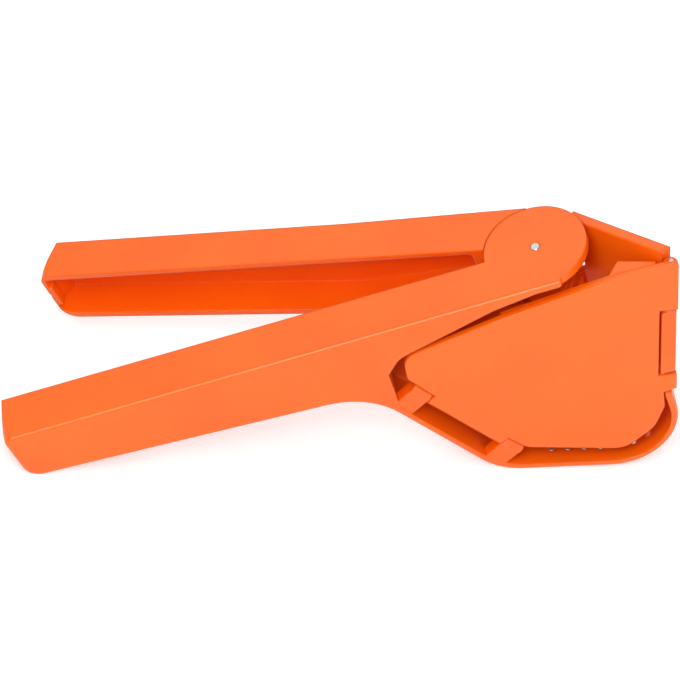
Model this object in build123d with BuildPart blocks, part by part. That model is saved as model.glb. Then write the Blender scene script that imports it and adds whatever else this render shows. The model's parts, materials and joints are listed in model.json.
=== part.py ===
from build123d import *
import os
from math import atan2, cos, degrees, hypot, radians, sin

os.makedirs("parts", exist_ok=True)

# Hinged citrus squeezer, in millimetres. Two long grips turn about one hinge pin. The front grip
# carries a tray, the press plate turns on a slanted spine at the tray's rim, and a side link
# joins the plate's free edge to an off-centre pin in the rear grip's hub.
#
# Tool directions: u runs along the front grip towards the tray, v runs up the hinge pin,
# and w points out of the front face. The tool stands on its tray and on the tip of its front grip.

# Stance of the tool on a table
stance_tilt = 22.16       # the hinge pin leans back by this angle
hinge_height = 102.31     # top of the hinge above the table
hinge_setback = 68.7      # hinge to the middle of the whole tool, along the table
hinge_sideways = -25.02   # hinge to the middle of the whole tool, across the table
grip_spread = 16.5        # angle between the two grips

# Grips
wall = 2.4                # moulded wall
grip_reach = 217.0        # hinge to the tip of the front grip, at its open side
rear_reach = 201.0        # hinge to the tip of the rear grip, at its open side
front_skew = 3.3          # the front grip's face is longer than its open side by this
rear_skew = 5.4           # the rear grip's back is shorter than its open side by this
tip_lean = 5.5            # how far a tip slopes in towards its lower corner
tip_drop = 24.6           # tip's lower corner, below the top of the grip
tip_round = 8.0           # lower corner of the tip
grip_slope = 0.067        # rise of the underside towards the tip, per unit of length
front_depth = 22.0        # front face of the front grip, from the hinge axis
rear_depth = 17.8         # back face of the rear grip, from the hinge axis
edge_round = 1.6          # outer edges of the grips
grip_gap = 0.6            # between the grips when they are closed

# Front grip's neck and tray
neck_corner = (-79.4, -33.0)    # underside of the grip meets the slanted side of the tray
heel_corner = (-41.2, -94.1)    # slanted side meets the foot of the tray
toe_corner = (33.0, -120.8)     # foot meets the open side of the tray
neck_round = 32.0
heel_round = 28.0
toe_round = 24.0
rim_end = -79.0                 # top of the tray's open side
window_left = -69.0             # left end of the tray's window
window_drop = -17.5             # top left corner of the window
neck_tip = (7.0, -1.2)          # where the front of the neck runs out under the ear
back_edge = 13.0                # right edge of the tray's back wall, under the hinge
back_edge_low = 10.5            # the same edge where it reaches out to the rim
back_low = -69.0                # level at which the back wall reaches out to the rim

# Hinge between the grips
ear_radius = 20.6
ear_thick = 4.0
hub_radius = 10.5
hub_bottom = -26.0
low_ear_thick = 3.6
low_ear_radius = 13.5
lever_pin_radius = 1.9
run_gap = 0.4             # between faces that pass each other
pin_play = 0.05           # radial, between a pin and its bore

# Side link, on its own pin in the hub
link_pin_radius = 1.5
link_pin_arm = 15.0       # hinge axis to link pin
link_pin_angle = -60.4    # seen down the hinge, from the rear grip's own line
link_lobe = 4.0           # hub round the link pin
hub_boss = 8.0            # hub round the hinge pin, beside the link
link_boss = 4.6           # link round the link pin
link_play = 0.8           # radial, in the link's bore
link_shift = (-0.3, 0.2)  # from the link pin to the middle of that bore, at rest
link_arm = (-12.0, -19.0)       # levels between which the link's arm lies
link_slot_top = -9.0
link_slot_bottom = -21.5
link_wall = 3.8
link_top = -4.4
link_bottom = -67.0
link_elbow = (17.2, -16.6)      # the link's outer corner (u, w), at its top
link_foot = (16.2, -1.0)        # the same corner at its lower edge

# Press plate
plate_thick = 2.6
knuckle_radius = 2.8
plate_pin_radius = 1.5
spine_pin_radius = 1.2
free_edge_top = (53.0, -7.8)    # right edge of the plate, upper end
free_edge_foot = (35.3, -76.5)  # right edge of the plate, lower end
link_knuckle = (-33.3, -67.9)   # levels between which the link's knuckle lies
spine_top = (-57.2, -45.0)      # spine axis at the upper end of the plate's knuckle
spine_foot = (-36.0, -79.0)     # spine axis at its lower end
spine_ear = 9.5                 # length of each of the tray's knuckles
spine_web = 11.0                # from the spine out into the rim
flange_depth = 4.4              # the plate's top edge, from its face inwards
flange_tab = 10.6               # the same at the deepest part of its tab
tab_top = -8.6
tab_thick = 2.4
rib_depth = 5.0
rib_thick = 2.0
rib_places = (16.0, 32.0, 48.0)     # from the spine
rib_start = 4.0                 # along the spine, from its upper end
rib_end = 34.0
notch_gap = 0.5           # round the link's knuckle
notch_depth = 4.4         # notch, from the axis into the plate

# Ends of the pins
lever_pin_head = 0.15
lever_pin_foot = -30.0
plate_pin_ends = (-8.8, -75.8)
link_pin_ends = (-5.0, -25.5)

# Strainer
drain_radius = 1.6
drain_pitch = 6.5
drain_rows = (4.5, 9.0, 13.5)
drain_start = 22.0
drain_count = 5           # along the foot, in each row
toe_drains = 3            # on round the toe, in each row

# Reference planes
hinge_point = (hinge_setback, hinge_sideways, hinge_height)
tilt_rad = radians(stance_tilt)
spread_rad = radians(grip_spread)
grip_way = Vector(cos(tilt_rad), 0, sin(tilt_rad))
face_way = Vector(0, -1, 0)
front = Plane(hinge_point, x_dir=grip_way, z_dir=face_way)
rear = Plane(
    hinge_point,
    x_dir=grip_way * cos(spread_rad) + face_way * sin(spread_rad),
    z_dir=face_way * cos(spread_rad) - grip_way * sin(spread_rad),
)
outward = Axis(origin=hinge_point, direction=front.z_dir)


def level(base, v):
    """Plane square to the hinge at height v: its x is u and its y is minus w."""
    return Plane(base.from_local_coords((0, v, 0)), x_dir=base.x_dir, z_dir=base.y_dir)


def along(base, start, end):
    """Plane at start that faces end, both in the tool directions of base."""
    origin = base.from_local_coords(start)
    return Plane(origin, z_dir=base.from_local_coords(end) - origin)


def distance(start, end):
    return hypot(*(e - s for s, e in zip(start, end)))


# Places that several pieces share
front_tip = -grip_reach - front_skew
link_pin_rad = radians(link_pin_angle)
link_pin_rear = (link_pin_arm * cos(link_pin_rad), link_pin_arm * sin(link_pin_rad))
link_pin_front = (
    link_pin_arm * cos(link_pin_rad + spread_rad),
    link_pin_arm * sin(link_pin_rad + spread_rad),
)
knuckle_inset = knuckle_radius + 0.2
knuckle_depth = front_depth - knuckle_inset
edge_run = (free_edge_foot[0] - free_edge_top[0]) / (free_edge_foot[1] - free_edge_top[1])


def edge_axis(v):
    """Point of the free edge's hinge axis at level v."""
    return (free_edge_top[0] - knuckle_inset + edge_run * (v - free_edge_top[1]), v, knuckle_depth)


def edge_point(v, out=0.0):
    """Point of the plate's outline square to its free edge's axis at level v."""
    slope = hypot(1, edge_run)
    return (edge_axis(v)[0] + out / slope, v - out * edge_run / slope)


spine_length = distance(spine_top, spine_foot)
spine_dir = tuple((f - t) / spine_length for t, f in zip(spine_top, spine_foot))
spine_out = (spine_dir[1], -spine_dir[0])      # from the spine towards the tray's rim
foot_length = distance(heel_corner, toe_corner)
foot_angle = atan2(toe_corner[1] - heel_corner[1], toe_corner[0] - heel_corner[0]) - radians(90)
foot_dir = tuple((t - h) / foot_length for h, t in zip(heel_corner, toe_corner))


def spine_point(s, out=0.0):
    """Point at s along the spine from its upper end, and out towards the rim."""
    return (
        spine_top[0] + spine_dir[0] * s + spine_out[0] * out,
        spine_top[1] + spine_dir[1] * s + spine_out[1] * out,
    )


spine_pin_head = (*spine_point(1.5 - run_gap - spine_ear), knuckle_depth)
spine_pin_foot = (*spine_point(spine_length + run_gap + spine_ear - 1.5), knuckle_depth)


def foot_point(reach, out):
    """Point at reach along the foot of the tray from the heel, and out below it."""
    return (
        heel_corner[0] + foot_dir[0] * reach + foot_dir[1] * out,
        heel_corner[1] + foot_dir[1] * reach - foot_dir[0] * out,
    )


toe_rise = (toe_corner[0] - heel_corner[0] - toe_round) / foot_dir[0]
toe_centre = (
    toe_corner[0] - toe_round,
    heel_corner[1] + toe_rise * foot_dir[1] + toe_round / foot_dir[0],
)

# Front lever: grip, neck, tray and both ears in one moulding
tray_wall = wall + 0.4
neck_inner = front_depth - wall
tray_back = grip_gap + wall
far_right = toe_corner[0] + 40


# Outline of the tray's inside, from the neck to past the open side
with BuildSketch() as tray_hollow:
    with BuildLine():
        FilletPolyline(
            (far_right, 0),
            (2 * neck_corner[0], 0),
            (2 * neck_corner[0], neck_corner[1] - grip_slope * neck_corner[0]),
            neck_corner,
            heel_corner,
            toe_corner,
            (toe_corner[0], rim_end),
            (far_right, rim_end),
            radius=(1, 1, 1, neck_round, heel_round, toe_round, 0.5, 1),
            close=True,
        )
    make_face()
    offset(amount=-tray_wall)
    with Locations((window_left, 0)):
        Rectangle(200, 300, align=(Align.MIN, Align.CENTER), mode=Mode.INTERSECT)

# The same outline, out to the middle of the tray's wall
with BuildSketch() as tray_middle:
    add(tray_hollow.sketch)
    offset(amount=tray_wall / 2)

with BuildPart() as front_lever:
    with BuildSketch(front.offset(grip_gap)):
        with BuildLine():
            corners = FilletPolyline(
                (neck_tip[0], 0),
                (front_tip, 0),
                (front_tip + tip_lean, -tip_drop),
                neck_corner,
                heel_corner,
                toe_corner,
                (toe_corner[0], rim_end),
                (back_edge_low, back_low),
                (back_edge, hub_bottom - run_gap),
                radius=(3, tip_round, neck_round, heel_round, toe_round, 1, 4),
            )
            Line(corners @ 1, (neck_tip[0], hub_bottom - run_gap))
            Line((neck_tip[0], hub_bottom - run_gap), corners @ 0)
        make_face()
    extrude(amount=front_depth - grip_gap)
    with BuildSketch(level(front, 1)):
        with BuildLine():
            Polyline(
                (front_tip - 1, 0),
                (-grip_reach, 0),
                (front_tip, -front_depth),
                (front_tip - 1, -front_depth),
                close=True,
            )
        make_face()
    extrude(amount=-2 * tip_drop, mode=Mode.SUBTRACT)
    fillet(front_lever.faces().sort_by(outward)[-1].edges(), edge_round)
    # The grip is a channel, open towards the other grip
    with BuildSketch(front.offset(grip_gap)):
        with BuildLine():
            FilletPolyline(
                (window_left - wall, -wall),
                (-grip_reach + wall, -wall),
                (-grip_reach + tip_lean + wall, -tip_drop + wall),
                (neck_corner[0], neck_corner[1] + wall + 1),
                (window_left - wall, neck_corner[1] - 6),
                radius=(2, 2, tip_round - wall, 12, 3),
                close=True,
            )
        make_face()
    extrude(amount=front_depth - wall - grip_gap, mode=Mode.SUBTRACT)
    # The tray and the inside of the neck, up to the back of the front face
    with BuildSketch(front.offset(tray_back)):
        add(tray_hollow.sketch)
    extrude(amount=neck_inner - tray_back, mode=Mode.SUBTRACT)
    # The window that the press plate lies in
    with BuildSketch(front.offset(neck_inner - 1)):
        add(tray_hollow.sketch)
        with BuildLine():
            FilletPolyline(
                neck_tip,
                (-21.7, -5.4),
                (window_left + 6.0, window_drop + 0.5),
                (window_left - 1, window_drop - 8),
                (window_left - 1, toe_corner[1]),
                (far_right, toe_corner[1]),
                (far_right, neck_tip[1]),
                radius=(1, 20, 7, 3, 1, 1, 1),
                close=True,
            )
        make_face(mode=Mode.INTERSECT)
    extrude(amount=wall + 2, mode=Mode.SUBTRACT)
    # Room for the rear grip's hub
    with BuildSketch(level(front, -ear_thick)):
        Circle(hub_radius + run_gap + 0.3)
    extrude(amount=hub_bottom - run_gap + ear_thick, mode=Mode.SUBTRACT)
    # Ears above and below the hub
    with BuildSketch(level(front, 0)):
        Circle(ear_radius)
    extrude(amount=-ear_thick)
    with BuildSketch(level(front, hub_bottom - run_gap)):
        Circle(low_ear_radius)
    extrude(amount=-low_ear_thick)
    # Shelf that carries the lower ear from the neck
    with BuildSketch(level(front, hub_bottom - run_gap)):
        with BuildLine():
            Polyline(
                (window_left - 1, -tray_back + 0.5),
                (window_left - 1, -hub_radius),
                (-low_ear_radius, -low_ear_radius * 0.8),
                (0, -low_ear_radius * 0.9),
                (0, -tray_back + 0.5),
                close=True,
            )
        make_face()
    extrude(amount=-low_ear_thick)
    # Knuckles of the spine, tied to the rim
    for start in (-run_gap - spine_ear, spine_length + run_gap):
        head = (*spine_point(start), knuckle_depth)
        foot = (*spine_point(start + spine_ear), knuckle_depth)
        with BuildSketch(along(front, head, foot)):
            Circle(knuckle_radius)
        extrude(amount=spine_ear)
        with BuildSketch(front.offset(knuckle_depth - knuckle_radius + 0.3)):
            with BuildLine():
                Polyline(
                    spine_point(start),
                    spine_point(start + spine_ear),
                    spine_point(start + spine_ear, spine_web),
                    spine_point(start, spine_web),
                    close=True,
                )
            make_face()
            add(tray_middle.sketch, mode=Mode.INTERSECT)
        extrude(amount=2 * knuckle_radius - 0.6)
    # Bore for the hinge pin
    with BuildSketch(level(front, 1)):
        Circle(lever_pin_radius + pin_play)
    extrude(amount=hub_bottom - 10, mode=Mode.SUBTRACT)
    # Bore for the spine pin
    with BuildSketch(along(front, spine_pin_head, spine_pin_foot)):
        Circle(spine_pin_radius + pin_play)
    extrude(amount=distance(spine_pin_head, spine_pin_foot), mode=Mode.SUBTRACT)
    # Drain holes through the foot of the tray and on round its toe
    for row in drain_rows:
        for count in range(drain_count):
            reach = drain_start + drain_pitch * count
            inner = (*foot_point(reach, -2 * tray_wall), row)
            outer = (*foot_point(reach, tray_wall), row)
            with BuildSketch(along(front, inner, outer)):
                Circle(drain_radius)
            extrude(amount=3 * tray_wall, mode=Mode.SUBTRACT)
        for count in range(toe_drains):
            turn = foot_angle + (count + 0.5) * drain_pitch / (toe_round - tray_wall)
            outer = (toe_centre[0] + cos(turn), toe_centre[1] + sin(turn), row)
            with BuildSketch(along(front, (*toe_centre, row), outer)):
                Circle(drain_radius)
            extrude(amount=toe_round + 2, mode=Mode.SUBTRACT)
front_lever.part.label = "front_lever"
export_step(front_lever.part, "parts/front_lever.step")

# Hollow of the rear grip's channel, with the slanted end of its tip
rear_inner = rear_depth - wall - 0.6
with BuildPart() as rear_channel:
    with BuildSketch(rear):
        with BuildLine():
            FilletPolyline(
                (-26, -wall),
                (-rear_reach, -wall),
                (-rear_reach + tip_lean, -tip_drop + wall),
                (neck_corner[0], neck_corner[1] + wall),
                (-26, hub_bottom - 2 + wall),
                radius=(2, 2, tip_round - wall, 12, 2),
                close=True,
            )
        make_face()
    extrude(amount=-rear_inner)
    with BuildSketch(level(rear, 1)):
        with BuildLine():
            Polyline(
                (-rear_reach + wall, -1),
                (-rear_reach + wall, 0),
                (-rear_reach + wall + rear_skew, rear_inner),
                (0, rear_inner),
                (0, -1),
                close=True,
            )
        make_face()
    extrude(amount=-60, mode=Mode.INTERSECT)

# Rear lever: grip with the hub that both pins pass through
with BuildPart() as rear_lever:
    with BuildSketch(rear.offset(-ear_radius)):
        with BuildLine():
            FilletPolyline(
                (0, 0),
                (-rear_reach, 0),
                (-rear_reach + tip_lean, -tip_drop),
                neck_corner,
                (-34, hub_bottom - 4),
                (0, hub_bottom),
                radius=(1, 3, tip_round, 14, 20, 1),
                close=True,
            )
        make_face()
    extrude(amount=ear_radius)
    with BuildSketch(level(rear, 1)):
        with BuildLine():
            Polyline(
                (-rear_reach, 0),
                (-rear_reach + rear_skew, rear_depth - 0.6),
                (neck_corner[0], rear_depth),
                (-1, ear_radius - 0.4),
                (-1, 0),
                close=True,
            )
        make_face()
    extrude(amount=-60, mode=Mode.INTERSECT)
    # The grip is a channel, open towards the front grip
    add(rear_channel.part, mode=Mode.SUBTRACT)
    # Top face clears the ear, hub plates lie between the ears
    with BuildSketch(level(rear, 1)):
        Circle(ear_radius + run_gap)
    extrude(amount=-1 - ear_thick - run_gap, mode=Mode.SUBTRACT)
    with BuildSketch(level(rear, -60)):
        Circle(low_ear_radius + run_gap)
    extrude(amount=60 + hub_bottom, mode=Mode.SUBTRACT)
    for top, bottom in ((-ear_thick - run_gap, link_slot_top), (link_slot_bottom, hub_bottom)):
        with BuildSketch(level(rear, top)):
            Circle(hub_radius)
            with Locations((link_pin_rear[0], -link_pin_rear[1])):
                Circle(link_lobe)
            make_hull()
        extrude(amount=bottom - top)
    with BuildSketch(level(rear, link_slot_top)):
        Circle(hub_boss)
    extrude(amount=link_slot_bottom - link_slot_top)
    # Bores for both pins
    with BuildSketch(level(rear, 1)):
        Circle(lever_pin_radius + pin_play)
    extrude(amount=hub_bottom - 10, mode=Mode.SUBTRACT)
    with BuildSketch(level(rear, -ear_thick)):
        with Locations((link_pin_rear[0], -link_pin_rear[1])):
            Circle(link_pin_radius + pin_play)
    extrude(amount=hub_bottom, mode=Mode.SUBTRACT)
rear_lever.part.label = "rear_lever"
export_step(rear_lever.part, "parts/rear_lever.step")

# Outline of the press plate, with the notch that the link's knuckle fills
with BuildSketch() as plate_outline:
    with BuildLine():
        FilletPolyline(
            free_edge_top,
            (30, -7.2),
            (-20, -11.2),
            (-61.5, -17.6),
            (-62.6, -29.5),
            spine_point(-spine_ear - run_gap, -knuckle_radius - 2 * run_gap),
            spine_point(0, -knuckle_radius - run_gap),
            spine_point(0, 1),
            spine_point(spine_length, 1),
            spine_point(spine_length, -knuckle_radius - run_gap),
            spine_point(spine_length + spine_ear + run_gap, -knuckle_radius - 2 * run_gap),
            (8, -101.5),
            (22, -94.5),
            (28.6, -84.5),
            (30.0, -76.8),
            free_edge_foot,
            radius=(1.5, 60, 60, 7, 3, 2, 0.3, 0.1, 0.1, 0.3, 6, 10, 14, 4, 0.3, 0.3),
            close=True,
        )
    make_face()
    with BuildLine():
        Polyline(
            edge_point(link_knuckle[0] + notch_gap, -notch_depth),
            edge_point(link_knuckle[0] + notch_gap, knuckle_radius + 2),
            edge_point(link_knuckle[1] - notch_gap, knuckle_radius + 2),
            edge_point(link_knuckle[1] - notch_gap, -notch_depth),
            close=True,
        )
    make_face(mode=Mode.SUBTRACT)

# Press plate: face, top edge, knuckles along both hinges and pressing ribs
plate_back = front_depth - plate_thick
with BuildPart() as press_plate:
    with BuildSketch(front.offset(plate_back)):
        add(plate_outline.sketch)
    extrude(amount=plate_thick)
    # Edge turned in along the top, deeper beside the link
    with BuildSketch(front.offset(front_depth - flange_depth)):
        with BuildLine():
            Polyline(
                (-20, -11.6),
                (30, -8.2),
                (43.5, -9.2),
                (43.5, -11.6),
                (30, -10.6),
                (-20, -14.0),
                close=True,
            )
        make_face()
    extrude(amount=flange_depth - 0.5)
    with BuildSketch(level(front, tab_top)):
        with BuildLine():
            Polyline(
                (25, 0.5 - front_depth),
                (25, flange_depth - front_depth),
                (29.5, flange_tab - front_depth),
                (44, flange_depth + 0.6 - front_depth),
                (44, 0.5 - front_depth),
                close=True,
            )
        make_face()
    extrude(amount=-tab_thick)
    # Ribs that press the fruit
    with BuildSketch(front.offset(plate_back - rib_depth)):
        for reach in rib_places:
            with BuildLine():
                Polyline(
                    spine_point(rib_start, -reach),
                    spine_point(rib_end, -reach),
                    spine_point(rib_end, -reach - rib_thick),
                    spine_point(rib_start, -reach - rib_thick),
                    close=True,
                )
            make_face()
    extrude(amount=rib_depth + 0.5)
    # Knuckles on the free edge, above and below the link's
    knuckle_ends = (free_edge_top[1] - 1.6, link_knuckle[0] + notch_gap), (
        link_knuckle[1] - notch_gap,
        free_edge_foot[1] + 0.9,
    )
    for top, bottom in knuckle_ends:
        with BuildSketch(along(front, edge_axis(top), edge_axis(bottom))):
            Circle(knuckle_radius)
        extrude(amount=distance(edge_axis(top), edge_axis(bottom)))
    # Knuckle on the spine
    with BuildSketch(along(front, (*spine_point(0), knuckle_depth), (*spine_point(1), knuckle_depth))):
        Circle(knuckle_radius)
    extrude(amount=spine_length)
    # Bores of both hinges
    with BuildSketch(along(front, edge_axis(0), edge_axis(-1))):
        Circle(plate_pin_radius + pin_play)
    extrude(amount=-free_edge_foot[1] + 10, mode=Mode.SUBTRACT)
    with BuildSketch(along(front, spine_pin_head, spine_pin_foot)):
        Circle(spine_pin_radius + pin_play)
    extrude(amount=distance(spine_pin_head, spine_pin_foot), mode=Mode.SUBTRACT)
press_plate.part.label = "press_plate"
export_step(press_plate.part, "parts/press_plate.step")

# Side link: slanting wall, knuckle on the plate's free edge and arm to the link pin
with BuildPart() as side_link:
    for v, corner in ((link_top, link_elbow), (link_bottom, link_foot)):
        edge = edge_axis(v)
        run = distance(corner, (edge[0], edge[2]))
        ahead = ((edge[0] - corner[0]) / run, (edge[2] - corner[1]) / run)
        lean = (ahead[1], -ahead[0])
        reach = knuckle_radius - 0.2
        outer = (edge[0] + lean[0] * reach, edge[2] + lean[1] * reach)
        inner = (outer[0] - lean[0] * link_wall, outer[1] - lean[1] * link_wall)
        inner_corner = (corner[0] - lean[0] * link_wall, corner[1] - lean[1] * link_wall)
        with BuildSketch(level(front, v)):
            with BuildLine():
                Polyline(
                    (corner[0], -corner[1]),
                    (outer[0], -outer[1]),
                    (inner[0], -inner[1]),
                    (inner_corner[0], -inner_corner[1]),
                    close=True,
                )
            make_face()
    loft()
    # Clear of the plate's upper knuckle and of the ear
    with BuildSketch(along(front, edge_axis(0), edge_axis(-1))):
        Circle(knuckle_radius + run_gap)
    extrude(amount=distance(edge_axis(0), edge_axis(link_knuckle[0])), mode=Mode.SUBTRACT)
    with BuildSketch(level(front, -7)):
        Circle(ear_radius + 1)
    extrude(amount=10, mode=Mode.SUBTRACT)
    # Clear of the hub's lower lobe
    with BuildSketch(level(front, link_slot_bottom + 1)):
        with Locations((link_pin_front[0], -link_pin_front[1])):
            Circle(link_lobe + 1.4)
    extrude(amount=hub_bottom - link_slot_bottom - 2.5, mode=Mode.SUBTRACT)
    # Knuckle between the plate's two
    with BuildSketch(along(front, edge_axis(link_knuckle[0]), edge_axis(link_knuckle[1]))):
        Circle(knuckle_radius)
    extrude(amount=distance(edge_axis(link_knuckle[0]), edge_axis(link_bottom)))
    # Arm to the link pin
    with BuildSketch(level(front, link_arm[0])):
        with Locations((link_pin_front[0] + link_shift[0], -link_pin_front[1] - link_shift[1])):
            Circle(link_boss)
        with Locations((link_elbow[0] + 0.3, -link_elbow[1] - 2.6)):
            Circle(1.6)
        make_hull()
    extrude(amount=link_arm[1] - link_arm[0])
    # Bores for both pins
    with BuildSketch(level(front, link_arm[0] + 1)):
        with Locations((link_pin_front[0] + link_shift[0], -link_pin_front[1] - link_shift[1])):
            Circle(link_pin_radius + link_play)
    extrude(amount=link_arm[1] - link_arm[0] - 2, mode=Mode.SUBTRACT)
    with BuildSketch(along(front, edge_axis(0), edge_axis(-1))):
        Circle(plate_pin_radius + pin_play)
    extrude(amount=-link_bottom + 10, mode=Mode.SUBTRACT)
side_link.part.label = "side_link"
export_step(side_link.part, "parts/side_link.step")

# Pins
with BuildPart() as lever_pin:
    with BuildSketch(level(front, lever_pin_head)):
        Circle(lever_pin_radius)
    extrude(amount=lever_pin_foot - lever_pin_head)
    chamfer(lever_pin.edges().filter_by(GeomType.CIRCLE), 0.3)
lever_pin.part.label = "lever_pin"
export_step(lever_pin.part, "parts/lever_pin.step")

with BuildPart() as spine_pin:
    with BuildSketch(along(front, spine_pin_head, spine_pin_foot)):
        Circle(spine_pin_radius)
    extrude(amount=distance(spine_pin_head, spine_pin_foot))
spine_pin.part.label = "spine_pin"
export_step(spine_pin.part, "parts/spine_pin.step")

with BuildPart() as plate_pin:
    with BuildSketch(along(front, edge_axis(plate_pin_ends[0]), edge_axis(plate_pin_ends[1]))):
        Circle(plate_pin_radius)
    extrude(amount=distance(edge_axis(plate_pin_ends[0]), edge_axis(plate_pin_ends[1])))
    chamfer(plate_pin.edges().filter_by(GeomType.CIRCLE), 0.3)
plate_pin.part.label = "plate_pin"
export_step(plate_pin.part, "parts/plate_pin.step")

with BuildPart() as link_pin:
    with BuildSketch(level(rear, link_pin_ends[0])):
        with Locations((link_pin_rear[0], -link_pin_rear[1])):
            Circle(link_pin_radius)
    extrude(amount=link_pin_ends[1] - link_pin_ends[0])
link_pin.part.label = "link_pin"
export_step(link_pin.part, "parts/link_pin.step")
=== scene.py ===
import bpy
import bmesh
import json
import math
from mathutils import Matrix, Vector


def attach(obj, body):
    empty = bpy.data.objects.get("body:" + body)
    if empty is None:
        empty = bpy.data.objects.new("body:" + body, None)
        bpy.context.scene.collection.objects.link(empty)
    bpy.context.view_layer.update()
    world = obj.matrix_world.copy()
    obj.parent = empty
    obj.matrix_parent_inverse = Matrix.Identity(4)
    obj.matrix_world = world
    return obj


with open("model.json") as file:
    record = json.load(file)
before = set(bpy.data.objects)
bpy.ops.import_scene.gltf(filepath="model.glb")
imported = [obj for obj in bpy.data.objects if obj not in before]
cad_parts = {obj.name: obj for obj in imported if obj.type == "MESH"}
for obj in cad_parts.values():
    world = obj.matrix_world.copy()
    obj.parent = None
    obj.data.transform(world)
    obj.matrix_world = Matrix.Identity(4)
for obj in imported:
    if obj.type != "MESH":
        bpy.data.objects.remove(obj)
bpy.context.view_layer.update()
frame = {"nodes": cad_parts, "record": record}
print("frame loaded")


def linear(hexColour):
    # sRGB hex to linear RGBA
    parts = [int(hexColour[i:i + 2], 16) / 255 for i in (1, 3, 5)]
    return tuple(c / 12.92 if c <= 0.04045 else ((c + 0.055) / 1.055) ** 2.4
                 for c in parts) + (1.0,)


def newMaterial(name):
    # an empty node material and its tree
    mat = bpy.data.materials.new(name)
    mat.use_nodes = True
    mat.node_tree.nodes.clear()
    return mat, mat.node_tree


def addNode(tree, kind, place, values=None, links=None):
    # adds a node, sets its inputs or properties, and links other sockets into it
    node = tree.nodes.new(kind)
    node.location = place
    for name, value in (values or {}).items():
        if name in node.inputs:
            node.inputs[name].default_value = value
        else:
            setattr(node, name, value)
    for name, socket in (links or {}).items():
        tree.links.new(socket, node.inputs[name])
    return node


# Directions of the tool: along the front grip (u), up the hinge pin (v), out of the front face (w)
hinge = next(j for j in frame["record"]["behaviour"]["joints"] if j["name"] == "grip_hinge")
pinTop = Vector(hinge["pos_m"])
pinUp = -Vector(hinge["axis"]).normalized()
faceOut = Vector((0, -1, 0))
gripWay = pinUp.cross(faceOut).normalized()


def toolWay(u, v, w):
    return gripWay * u + pinUp * v + faceOut * w


def toolPoint(u, v, w):
    # millimetres in tool directions to a point of the frame
    return pinTop + toolWay(u, v, w) / 1000


# Moulded polypropylene: a warm satin gloss that drifts a little in colour, with soft bright edges
plastic = {
    "colour": "#FF6C08",
    "tints": {                      # what each moulding drifts towards
        "front_lever": ("mouldedPolypropyleneFront", "#FA5E06"),
        "rear_lever": ("mouldedPolypropyleneRear", "#FA5C06"),
        "press_plate": ("mouldedPolypropylenePlate", "#FD6606"),
        "side_link": ("mouldedPolypropyleneLink", "#F65806"),
    },
    "roughness": 0.3,
    "worn": (-0.02, 0.04),          # how far handling changes the roughness
    "ior": 1.49,
    "glow": 0.16,                   # share of light that scatters inside the walls
    "glowDepthMm": 2.0,
    "flowSizeMm": 38.0,             # broad flow marks from moulding
    "skinSizeMm": 0.9,              # unevenness of the skin, drawn coarse enough to show
    "skinDepthMm": 0.2,
    "markSizeMm": 16.0,             # handling marks, about three times as long in X
    "markTurn": (0.3, -0.39, 0.2),  # turns the noise that they come from
    "edgeMm": 1.2,                  # rounding that the shader gives to moulded edges
}


def mouldedPolypropylene(name, tint):
    mat, tree = newMaterial(name)
    out = addNode(tree, "ShaderNodeOutputMaterial", (900, 0))
    coord = addNode(tree, "ShaderNodeTexCoord", (-1100, 0))
    flow = addNode(tree, "ShaderNodeTexNoise", (-800, 200), {
        "Scale": 1000 / plastic["flowSizeMm"], "Detail": 3.0, "Roughness": 0.45,
    }, {"Vector": coord.outputs["Object"]})
    spread = addNode(tree, "ShaderNodeMapRange", (-550, 260), {
        "From Min": 0.35, "From Max": 0.7, "To Min": 0.0, "To Max": 0.55,
    }, {"Value": flow.outputs["Fac"]})
    mix = addNode(tree, "ShaderNodeMix", (-300, 200), {"data_type": "RGBA"})
    mix.inputs[6].default_value = linear(plastic["colour"])
    mix.inputs[7].default_value = linear(tint)
    tree.links.new(spread.outputs["Result"], mix.inputs[0])
    stretch = addNode(tree, "ShaderNodeMapping", (-1000, -300), {
        "Rotation": plastic["markTurn"], "Scale": (0.3, 1.0, 1.0),
    }, {"Vector": coord.outputs["Object"]})
    marks = addNode(tree, "ShaderNodeTexNoise", (-800, -300), {
        "Scale": 1000 / plastic["markSizeMm"], "Detail": 2.0, "Roughness": 0.6,
    }, {"Vector": stretch.outputs["Vector"]})
    worn = addNode(tree, "ShaderNodeMapRange", (-550, -300), {
        "From Min": 0.3, "From Max": 0.8,
        "To Min": plastic["roughness"] + plastic["worn"][0],
        "To Max": plastic["roughness"] + plastic["worn"][1],
    }, {"Value": marks.outputs["Fac"]})
    skin = addNode(tree, "ShaderNodeTexNoise", (-800, -600), {
        "Scale": 1000 / plastic["skinSizeMm"], "Detail": 2.0, "Roughness": 0.5,
    }, {"Vector": coord.outputs["Object"]})
    softEdge = addNode(tree, "ShaderNodeBevel", (-550, -800), {
        "samples": 8, "Radius": plastic["edgeMm"] / 1000,
    })
    bump = addNode(tree, "ShaderNodeBump", (-300, -600), {
        "Strength": 0.025, "Distance": plastic["skinDepthMm"] / 1000,
    }, {"Height": skin.outputs["Fac"], "Normal": softEdge.outputs["Normal"]})
    shell = addNode(tree, "ShaderNodeBsdfPrincipled", (300, 0), {
        "IOR": plastic["ior"], "Subsurface Weight": plastic["glow"],
        "Subsurface Radius": (1.0, 0.35, 0.12), "Subsurface Scale": plastic["glowDepthMm"] / 1000,
    }, {
        "Base Color": mix.outputs[2], "Roughness": worn.outputs["Result"],
        "Normal": bump.outputs["Normal"],
    })
    tree.links.new(shell.outputs["BSDF"], out.inputs["Surface"])
    return mat


# Drawn stainless wire: a bright grey with fine lines
wire = {
    "colour": "#C9CACD",
    "roughness": 0.28,
    "worn": (-0.08, 0.1),           # how far the lines change the roughness
    "lineMm": 0.25,
    "lineDepthMm": 0.1,
}


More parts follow.
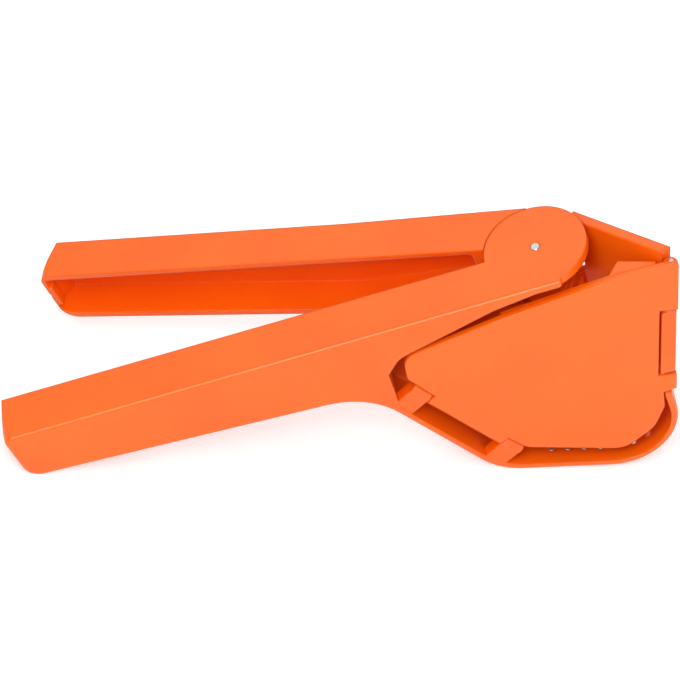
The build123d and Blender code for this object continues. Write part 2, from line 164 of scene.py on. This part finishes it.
def drawnStainlessWire():
    mat, tree = newMaterial("drawnStainlessWire")
    out = addNode(tree, "ShaderNodeOutputMaterial", (700, 0))
    coord = addNode(tree, "ShaderNodeTexCoord", (-900, 0))
    stretch = addNode(tree, "ShaderNodeMapping", (-700, 0), {
        "Scale": (1.0, 1.0, 0.06),
    }, {"Vector": coord.outputs["Object"]})
    lines = addNode(tree, "ShaderNodeTexNoise", (-500, 0), {
        "Scale": 1000 / wire["lineMm"], "Detail": 2.0,
    }, {"Vector": stretch.outputs["Vector"]})
    rough = addNode(tree, "ShaderNodeMapRange", (-250, 0), {
        "To Min": wire["roughness"] + wire["worn"][0],
        "To Max": wire["roughness"] + wire["worn"][1],
    }, {"Value": lines.outputs["Fac"]})
    bump = addNode(tree, "ShaderNodeBump", (-250, -250), {
        "Strength": 0.1, "Distance": wire["lineDepthMm"] / 1000,
    }, {"Height": lines.outputs["Fac"]})
    metal = addNode(tree, "ShaderNodeBsdfPrincipled", (200, 0), {
        "Base Color": linear(wire["colour"]), "Metallic": 1.0,
    }, {"Roughness": rough.outputs["Result"], "Normal": bump.outputs["Normal"]})
    tree.links.new(metal.outputs["BSDF"], out.inputs["Surface"])
    return mat


orange = {node: mouldedPolypropylene(*tint) for node, tint in plastic["tints"].items()}
steel = drawnStainlessWire()
for nodeName, obj in frame["nodes"].items():
    mat = orange.get(nodeName, steel)
    for slot in obj.material_slots:
        slot.material = mat
    if not obj.material_slots:
        obj.data.materials.append(mat)
print("finishes on the CAD nodes")

slabEdge = {"offsetMm": 0.4, "segments": 2}


def mouldedSlab(name, place, outline, depth, body):
    # draws a flat outline, pulls it to its depth and breaks its edges
    slab = bmesh.new()
    face = slab.faces.new([slab.verts.new(place(*corner)) for corner in outline])
    grown = bmesh.ops.extrude_face_region(slab, geom=[face])
    moved = [v for v in grown["geom"] if isinstance(v, bmesh.types.BMVert)]
    bmesh.ops.translate(slab, verts=moved, vec=(place(0, 0, depth) - place(0, 0, 0)))
    bmesh.ops.bevel(slab, geom=slab.edges[:], offset=slabEdge["offsetMm"] / 1000,
                    offset_type="OFFSET", segments=slabEdge["segments"],
                    profile=0.5, affect="EDGES", material=-1)
    bmesh.ops.recalc_face_normals(slab, faces=slab.faces)
    mesh = bpy.data.meshes.new(name)
    slab.to_mesh(mesh)
    slab.free()
    mesh.materials.append(orange[body])
    piece = bpy.data.objects.new(name, mesh)
    bpy.context.scene.collection.objects.link(piece)
    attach(piece, body)


# Cover of the link's knuckle, flush with the plate's face, in millimetres
knuckleCover = {
    "edgeTop": (53.0, -7.8),        # the plate's free edge, (u, v)
    "edgeFoot": (35.3, -76.5),
    "top": -34.3, "foot": -67.0,
    "outer": 0.5, "inner": 6.6,     # from the free edge inwards
    "face": 21.9, "depth": 2.4,
}


def coverCorner(level, inwards):
    (topU, topV), (footU, footV) = knuckleCover["edgeTop"], knuckleCover["edgeFoot"]
    share = (level - topV) / (footV - topV)
    return (topU + (footU - topU) * share - inwards, level, knuckleCover["face"])


mouldedSlab("knuckleCover", toolPoint, [
    coverCorner(knuckleCover[level], knuckleCover[side])
    for level, side in (("top", "inner"), ("top", "outer"), ("foot", "outer"), ("foot", "inner"))
], -knuckleCover["depth"], "side_link")

# The link's rear edge, turned in behind the hub, in millimetres
linkFlange = {
    "inner": 12.4, "outer": 17.4,
    "top": -28.8, "topFace": -10.5,
    "foot": -48.0, "footFace": -5.7,
    "depth": 2.2,
}
mouldedSlab("linkFlange", toolPoint, [
    (linkFlange[side], linkFlange[level], linkFlange[level + "Face"])
    for level, side in (("top", "inner"), ("top", "outer"), ("foot", "outer"), ("foot", "inner"))
], linkFlange["depth"], "side_link")

# Wall of the rear grip's tip, on its open side, in millimetres
rearTip = {
    "reach": 201.0,
    "lean": 5.5 / 24.6,             # slope of the tip
    "spreadDegrees": 16.5,          # angle between the grips
    "top": -7.0, "foot": -17.4,
    "inset": 0.05, "wall": 2.4, "depth": 4.6,
}
spread = math.radians(rearTip["spreadDegrees"])


def rearPoint(u, v, w):
    # the tool directions, turned to the rear grip
    return toolPoint(u * math.cos(spread) - w * math.sin(spread), v,
                     u * math.sin(spread) + w * math.cos(spread))


tipCorners = (("top", 0.0), ("foot", 0.0), ("foot", rearTip["wall"]), ("top", rearTip["wall"]))
mouldedSlab("rearTipWall", rearPoint, [
    (-rearTip["reach"] - rearTip["lean"] * rearTip[level] + inwards + rearTip["inset"],
     rearTip[level], 0.0)
    for level, inwards in tipCorners
], -rearTip["depth"], "rear_lever")
print("small moulded pieces")

# Floor, room and lamps, in metres and watts
middle = Vector((0, 0, 0.05))
studio = {
    "floor": "#D9D9D9",
    "floorHalf": 4.0,
    "glow": 0.5,                    # added to the paper's own shade for the eye and the gloss
    "room": 0.56,
    "lamps": {                      # place, size, power
        "keyLight": ((-0.5, -0.7, 1.3), (0.9, 0.9), 6.4),
        "fillLight": ((0.7, -1.1, 0.35), (0.9, 0.7), 4.0),
        "backLight": ((0.1, 0.9, 0.9), (1.2, 0.6), 2.2),
        "ridgeLight": (middle + toolWay(0, 0.78, 0.62) * 1.1, (0.3, 0.3), 3.4),
    },
}


def whitePaper():
    # matt paper that stays white to the eye and keeps the tool's shadow
    mat, tree = newMaterial("whitePaper")
    out = addNode(tree, "ShaderNodeOutputMaterial", (700, 0))
    path = addNode(tree, "ShaderNodeLightPath", (-600, 200))
    seen = path.outputs["Is Camera Ray"]
    for x, ray in ((-350, "Is Glossy Ray"), (-150, "Is Transmission Ray")):
        either = addNode(tree, "ShaderNodeMath", (x, 200), {"operation": "MAXIMUM"})
        tree.links.new(seen, either.inputs[0])
        tree.links.new(path.outputs[ray], either.inputs[1])
        seen = either.outputs[0]
    glow = addNode(tree, "ShaderNodeMath", (50, 200), {"operation": "MULTIPLY"})
    tree.links.new(seen, glow.inputs[0])
    glow.inputs[1].default_value = studio["glow"]
    paper = addNode(tree, "ShaderNodeBsdfDiffuse", (50, -50), {"Color": linear(studio["floor"])})
    light = addNode(tree, "ShaderNodeEmission", (250, 150), {"Color": (1, 1, 1, 1)},
                    {"Strength": glow.outputs[0]})
    both = addNode(tree, "ShaderNodeAddShader", (450, 0))
    tree.links.new(paper.outputs[0], both.inputs[0])
    tree.links.new(light.outputs[0], both.inputs[1])
    tree.links.new(both.outputs[0], out.inputs["Surface"])
    return mat


sheet = bmesh.new()
bmesh.ops.create_grid(sheet, x_segments=1, y_segments=1, size=studio["floorHalf"])
floorMesh = bpy.data.meshes.new("studioFloor")
sheet.to_mesh(floorMesh)
sheet.free()
floorMesh.materials.append(whitePaper())
studioFloor = bpy.data.objects.new("studioFloor", floorMesh)
bpy.context.scene.collection.objects.link(studioFloor)

room = bpy.data.worlds.new("softRoom")
room.use_nodes = True
air = room.node_tree.nodes["Background"]
air.inputs["Color"].default_value = (1, 1, 1, 1)
air.inputs["Strength"].default_value = studio["room"]
bpy.context.scene.world = room

for name, (place, size, power) in studio["lamps"].items():
    lamp = bpy.data.lights.new(name, "AREA")
    lamp.shape = "RECTANGLE"
    lamp.size, lamp.size_y = size
    lamp.energy = power
    softbox = bpy.data.objects.new(name, lamp)
    bpy.context.scene.collection.objects.link(softbox)
    aim = (Vector(place) - middle).to_track_quat("Z", "Y").to_matrix().to_4x4()
    softbox.matrix_world = Matrix.Translation(place) @ aim
print("studio lit")

# Camera without perspective, placed by the hinge
view = {
    "right": (0.959, -0.2336, 0.158),       # in tool directions
    "up": (0.274, 0.642, -0.716),
    "framePixels": 680,
    "mmPerPixel": 0.39,
    "hingeAt": (535.0, 246.5),              # pixel where the top of the hinge pin lies
    "distance": 1.2,                        # metres from the tool
    "sight": 10,                            # metres that the lens sees
}
rightWay = toolWay(*view["right"]).normalized()
backWay = rightWay.cross(toolWay(*view["up"])).normalized()
upWay = backWay.cross(rightWay).normalized()
metresPerPixel = view["mmPerPixel"] / 1000
across, down = (view["framePixels"] / 2 - pixel for pixel in view["hingeAt"])
eye = pinTop + (rightWay * across - upWay * down) * metresPerPixel + backWay * view["distance"]

lens = bpy.data.cameras.new("productCamera")
lens.type = "ORTHO"
lens.ortho_scale = view["framePixels"] * metresPerPixel
lens.clip_end = view["sight"]
camera = bpy.data.objects.new("productCamera", lens)
bpy.context.scene.collection.objects.link(camera)
turn = Matrix((rightWay, upWay, backWay)).transposed().to_4x4()
camera.matrix_world = Matrix.Translation(eye) @ turn
bpy.context.scene.camera = camera
bpy.context.scene.view_settings.view_transform = "Standard"
print("camera placed")
